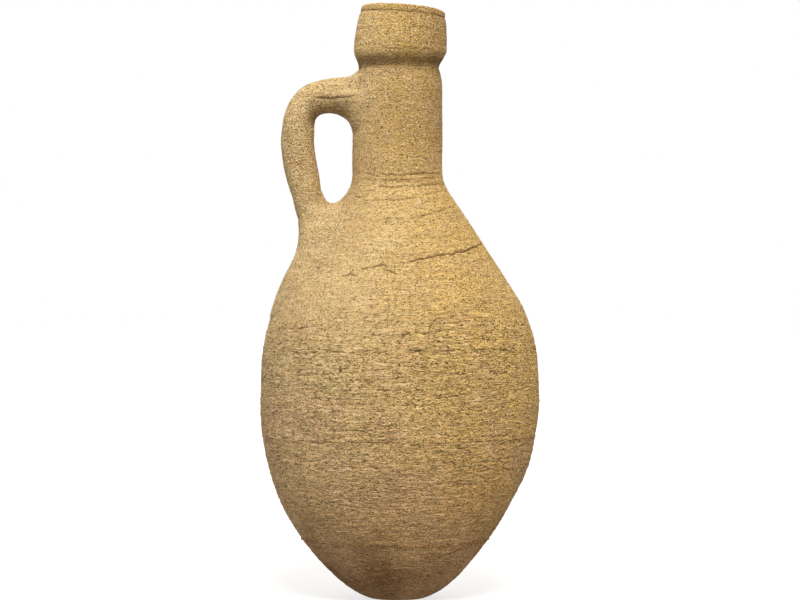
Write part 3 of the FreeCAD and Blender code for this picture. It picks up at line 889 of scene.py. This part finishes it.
def strap():
    """The strap: a row of rounded-box sections along its centre line."""
    rows = int(STRAP_HIDDEN_END / ROW_STEP)
    spots = np.linspace(0.0, STRAP_HIDDEN_END, rows)
    turns = full_turn(116)
    sharp = 2.0 / SQUARENESS
    flat = np.sign(np.cos(turns)) * np.abs(np.cos(turns)) ** sharp
    deep = np.sign(np.sin(turns)) * np.abs(np.sin(turns)) ** sharp
    centre = [np.interp(spots, strap_length, strap_line[:, axis]) for axis in (0, 1, 2)]
    out = [np.interp(spots, strap_length, strap_out[:, axis]) for axis in (0, 1)]
    reach = centre[2][:, None] / 2.0 * flat[None, :]
    x = centre[0][:, None] + out[0][:, None] * reach
    z = centre[1][:, None] + out[1][:, None] * reach
    y = np.broadcast_to(STRAP_WIDTH / 2.0 * deep[None, :], x.shape)
    grid = np.stack([x, y, z], axis=-1)
    bumps, pits_and_shade = relief(grid, 1.0)
    bumps = bumps + handle_shape(grid)
    # Painted shade in the arm's fold and under the arm, and a thin darkening of the upright.
    pits_and_shade[..., 0] += handle_painted_shade(grid)
    ends = np.stack([centre[0][[0, -1]], np.zeros(2), centre[1][[0, -1]]], axis=1)
    grid_piece(
        "handle_strap_skin", "handle_strap", grid, bumps, pits_and_shade, handle_clay, ends
    )


def arm_fold(spots):
    """How far points lie above the fold on the front of the arm, and where it runs (0 to 1)."""
    front = ramp(spots[..., 1], 0.0, -8.0)
    fold = np.interp(spots[..., 0], [-70.0, -57.0, -40.0, -19.0], [420.5, 420.0, 422.0, 423.4])
    over = spots[..., 2] - fold - 0.6 * break_up(spots, 8.0)
    span = ramp(spots[..., 0], -75.0, -64.0) * ramp(spots[..., 0], -24.0, -42.0)
    return over, span * front


def handle_shape(spots):
    """The strap's own unevenness: soft swells, and a fold of clay along the front of the arm."""
    height = 0.9 * swell(spots + 400.0, 30.0) + 0.35 * swell(spots, 12.0)
    over, held = arm_fold(spots)
    brow = 1.0 * bell(over, 1.6, 4.0) * ramp(over, -0.5, 0.5)
    under = -1.2 * np.exp(np.minimum(over, 0.0) / 7.0) * ramp(over, 0.5, -0.5)
    return height + (brow + under) * held


def handle_painted_shade(spots):
    """Painted shade in the arm's fold and on the arm's underside over the finger gap, and a thin
    darkening of the upright.
    """
    over, held = arm_fold(spots)
    below = ramp(over, -0.5, -5.0) * ramp(spots[..., 2], 394.0, 402.0)
    below = below * ramp(spots[..., 0], -83.0, -73.0) * ramp(spots[..., 0], -24.0, -36.0)
    upright = ramp(spots[..., 2], 414.0, 398.0) * ramp(spots[..., 2], 300.0, 330.0)
    return 0.7 * held * bell(over, -0.6, 1.0) + 0.62 * below + 0.28 * upright


def surface_net(field, corner, step):
    """Quads where a sampled field crosses zero, with one point in each cell that it cuts."""
    nx, ny, nz = (size - 1 for size in field.shape)
    corners = list(itertools.product((0, 1), repeat=3))
    values = [field[a : nx + a, b : ny + b, c : nz + c] for a, b, c in corners]
    inside = sum((value < 0).astype(int) for value in values)
    cut = (inside > 0) & (inside < 8)
    total = np.zeros((int(cut.sum()), 3))
    crossings = np.zeros(len(total))
    picked = [value[cut] for value in values]
    for first, second in itertools.combinations(range(8), 2):
        reach = np.subtract(corners[second], corners[first])
        if np.abs(reach).sum() != 1:
            continue
        a = picked[first]
        b = picked[second]
        crossed = (a < 0) != (b < 0)
        share = np.where(crossed, a / np.where(crossed, a - b, 1.0), 0.0)
        total += crossed[:, None] * (np.array(corners[first]) + share[:, None] * reach)
        crossings += crossed
    cells = np.argwhere(cut)
    points = corner + (cells + total / crossings[:, None]) * step
    label = np.full(cut.shape, -1)
    label[cut] = np.arange(len(points))
    quads = []
    for axis in range(3):
        here = np.moveaxis(field, axis, 0)
        near = (here[:-1] < 0) & (here[1:] >= 0)
        far = (here[:-1] >= 0) & (here[1:] < 0)
        tags = np.moveaxis(label, axis, 0)
        for crossing, outward in ((near, True), (far, False)):
            spots = np.argwhere(crossing[:, 1:-1, 1:-1])
            i, j, k = spots.T
            loop = [tags[i, j, k], tags[i, j + 1, k], tags[i, j + 1, k + 1], tags[i, j, k + 1]]
            if outward == (axis == 1):
                loop.reverse()
            quads.append(np.stack(loop, axis=1))
    return points, np.vstack(quads)


def top_reach(spots):
    """How widely the upper wad blends strap and neck: narrowly above the arm, widely under it."""
    return 22.0 - 12.0 * ramp(spots[..., 2], 416.0, 432.0)


def root_reach(spots):
    """How widely the lower wad blends strap and shoulder: most widely at the front and the back."""
    height = spots[..., 2]
    smeared = ramp(height, 252.0, 280.0) * ramp(height, 336.0, 316.0)
    smeared = smeared * ramp(np.abs(spots[..., 1]), 6.0, 24.0)
    return 20.0 + 5.0 * ramp(height, 294.0, 310.0) + 14.0 * smeared


def wad(name, low, high, reach, flared):
    """Clay smeared over a joint of strap and wall: a blend of the two, feathered at its edges."""
    step = 0.95
    skin = 0.6          # how deep the clay goes under the face of the wall or the strap
    axes = [np.arange(a, b, step) for a, b in zip(low, high)]
    spots = np.stack(np.meshgrid(*axes, indexing="ij"), axis=-1)
    wall = wall_distance(spots)
    arm = strap_distance(spots, flared)
    plain_arm = strap_distance(spots, False) if flared else arm
    blend = soft_min(wall, arm, reach(spots))
    raised = np.minimum(wall, plain_arm) - blend
    aside = np.abs(spots[..., 1])
    feather = 0.3 + 1.1 * ramp(aside, 12.0, 22.0) * ramp(spots[..., 2], 336.0, 316.0)
    sunk = 0.9 * ramp(raised, feather, 0.0)
    sunk += 1.6 * ramp(spots[..., 2], ledge_height - 5.0, ledge_height)
    field = np.maximum(blend + sunk, np.maximum(-(wall + skin), -(plain_arm + skin)))
    points, quads = surface_net(field, np.array(low), step)
    near_wall = wall_distance(points)
    near_arm = strap_distance(points, flared)
    share = ramp(near_wall - near_arm, -9.0, 9.0)
    bumps, pits_and_shade = relief(points, share)
    bumps = bumps + handle_shape(points) * share
    # Painted shade in the arm's fold and under the arm, and a thin darkening of the upright, where the
    # wad is strap.
    pits_and_shade[..., 0] += handle_painted_shade(points) * share
    slope = []
    for axis in range(3):
        shift = np.zeros(3)
        shift[axis] = 0.6
        ahead = blended(points + shift, flared, reach)
        behind = blended(points - shift, flared, reach)
        slope.append(ahead - behind)
    normal = np.stack(slope, axis=-1)
    normal /= np.maximum(np.linalg.norm(normal, axis=-1, keepdims=True), 1e-9)
    points = points + normal * bumps[:, None]
    faces = (quads, np.zeros((0, 3), int))
    make_piece(name + "_skin", name, points, faces, pits_and_shade, handle_clay)


def blended(spots, flared, reach):
    return soft_min(wall_distance(spots), strap_distance(spots, flared), reach(spots))


strap()
wad("handle_top_wad", (-74.0, -38.0, 382.0), (-8.0, 38.0, 450.0), top_reach, False)
wad("handle_root_wad", (-112.0, -58.0, 236.0), (-36.0, 58.0, 360.0), root_reach, True)


# ---------------------------------------------------------------- floor, light and camera


def floor():
    """A wide white floor that glows a little, so that it meets the backdrop without an edge."""
    mesh = bpy.data.meshes.new("floor")
    size = 15.0
    points = [(-size, -size, 0.0), (size, -size, 0.0), (size, size, 0.0), (-size, size, 0.0)]
    mesh.from_pydata(points, [], [(0, 1, 2, 3)])
    graph = Graph("pale_floor")
    where = graph.add("TexCoord").outputs["Object"]
    shade = graph.mix(graph.noise(where, 300.0), colour(0.30, 0.30, 0.29), colour(0.34, 0.34, 0.33))
    mesh.materials.append(graph.end_with("BsdfPrincipled", "BSDF", {
        "Base Color": shade,
        "Roughness": 0.9,
        "Specular IOR Level": 0.0,
        "Emission Color": WHITE,
        "Emission Strength": 0.72,
    }))
    floor_object = bpy.data.objects.new("floor", mesh)
    bpy.context.scene.collection.objects.link(floor_object)
    floor_object.visible_diffuse = False


def sun(name, direction, spread, strength):
    """A soft, even light that shines along a direction."""
    data = bpy.data.lights.new(name, "SUN")
    data.angle = math.radians(spread)
    data.energy = strength
    lamp = bpy.data.objects.new(name, data)
    lamp.rotation_mode = "QUATERNION"
    lamp.rotation_quaternion = Vector(direction).to_track_quat("-Z", "Y")
    bpy.context.scene.collection.objects.link(lamp)


def world_light(below, above):
    """An even sky, with less light from below the horizon and warmer light from the right."""
    world = bpy.data.worlds.new("studio")
    world.use_nodes = True
    tree = world.node_tree
    backdrop = tree.nodes["Background"]
    direction = tree.nodes.new("ShaderNodeTexCoord")
    axes = tree.nodes.new("ShaderNodeSeparateXYZ")
    across = tree.nodes.new("ShaderNodeMapRange")
    across.inputs["From Min"].default_value = -1.0
    sideways = tree.nodes.new("ShaderNodeValToRGB")
    sideways.color_ramp.elements[0].color = colour(1.20, 1.15, 1.12)
    sideways.color_ramp.elements[1].color = colour(1.20, 1.10, 0.94)
    sideways.color_ramp.elements.new(0.5).color = colour(1.04, 0.99, 0.95)
    strength = tree.nodes.new("ShaderNodeMapRange")
    tree.links.new(direction.outputs["Generated"], axes.inputs["Vector"])
    tree.links.new(axes.outputs["Z"], strength.inputs["Value"])
    settings = {"From Min": -0.15, "From Max": 0.15, "To Min": below, "To Max": above}
    for word, value in settings.items():
        strength.inputs[word].default_value = value
    tree.links.new(strength.outputs["Result"], backdrop.inputs["Strength"])
    tree.links.new(axes.outputs["X"], across.inputs["Value"])
    tree.links.new(across.outputs["Result"], sideways.inputs["Fac"])
    tree.links.new(sideways.outputs["Color"], backdrop.inputs["Color"])
    bpy.context.scene.world = world


def backdrop():
    """A white dome around the set, seen by the camera only, so that it adds no light."""
    bpy.ops.mesh.primitive_uv_sphere_add(segments=48, ring_count=24, radius=22.0)
    dome = bpy.context.object
    dome.name = "backdrop"
    graph = Graph("white_backdrop")
    glow = {"Color": WHITE, "Strength": 1.0}
    dome.data.materials.append(graph.end_with("Emission", "Emission", glow))
    dome.visible_diffuse = False
    dome.visible_glossy = False
    dome.visible_shadow = False


def camera():
    """A long lens, level with the middle of the vessel."""
    low, high = cad_box
    width_seen = 0.674      # metres across the picture, at the axis
    distance = 2.2
    data = bpy.data.cameras.new("camera")
    data.sensor_width = 36.0
    data.lens = data.sensor_width * distance / width_seen
    view = bpy.data.objects.new("camera", data)
    view.location = (0.0004, -distance, (low.z + high.z) / 2.0 + 0.0013)
    view.rotation_euler = (math.radians(90.0), 0.0, 0.0)
    bpy.context.scene.collection.objects.link(view)
    bpy.context.scene.camera = view


floor()
backdrop()
world_light(0.36, 0.63)
sun("key", (-0.05, 0.70, -0.71), 18.0, 2.5)
sun("back", (0.1, -0.82, -0.5), 40.0, 0.9)
camera()
bpy.context.scene.view_settings.view_transform = "Standard"
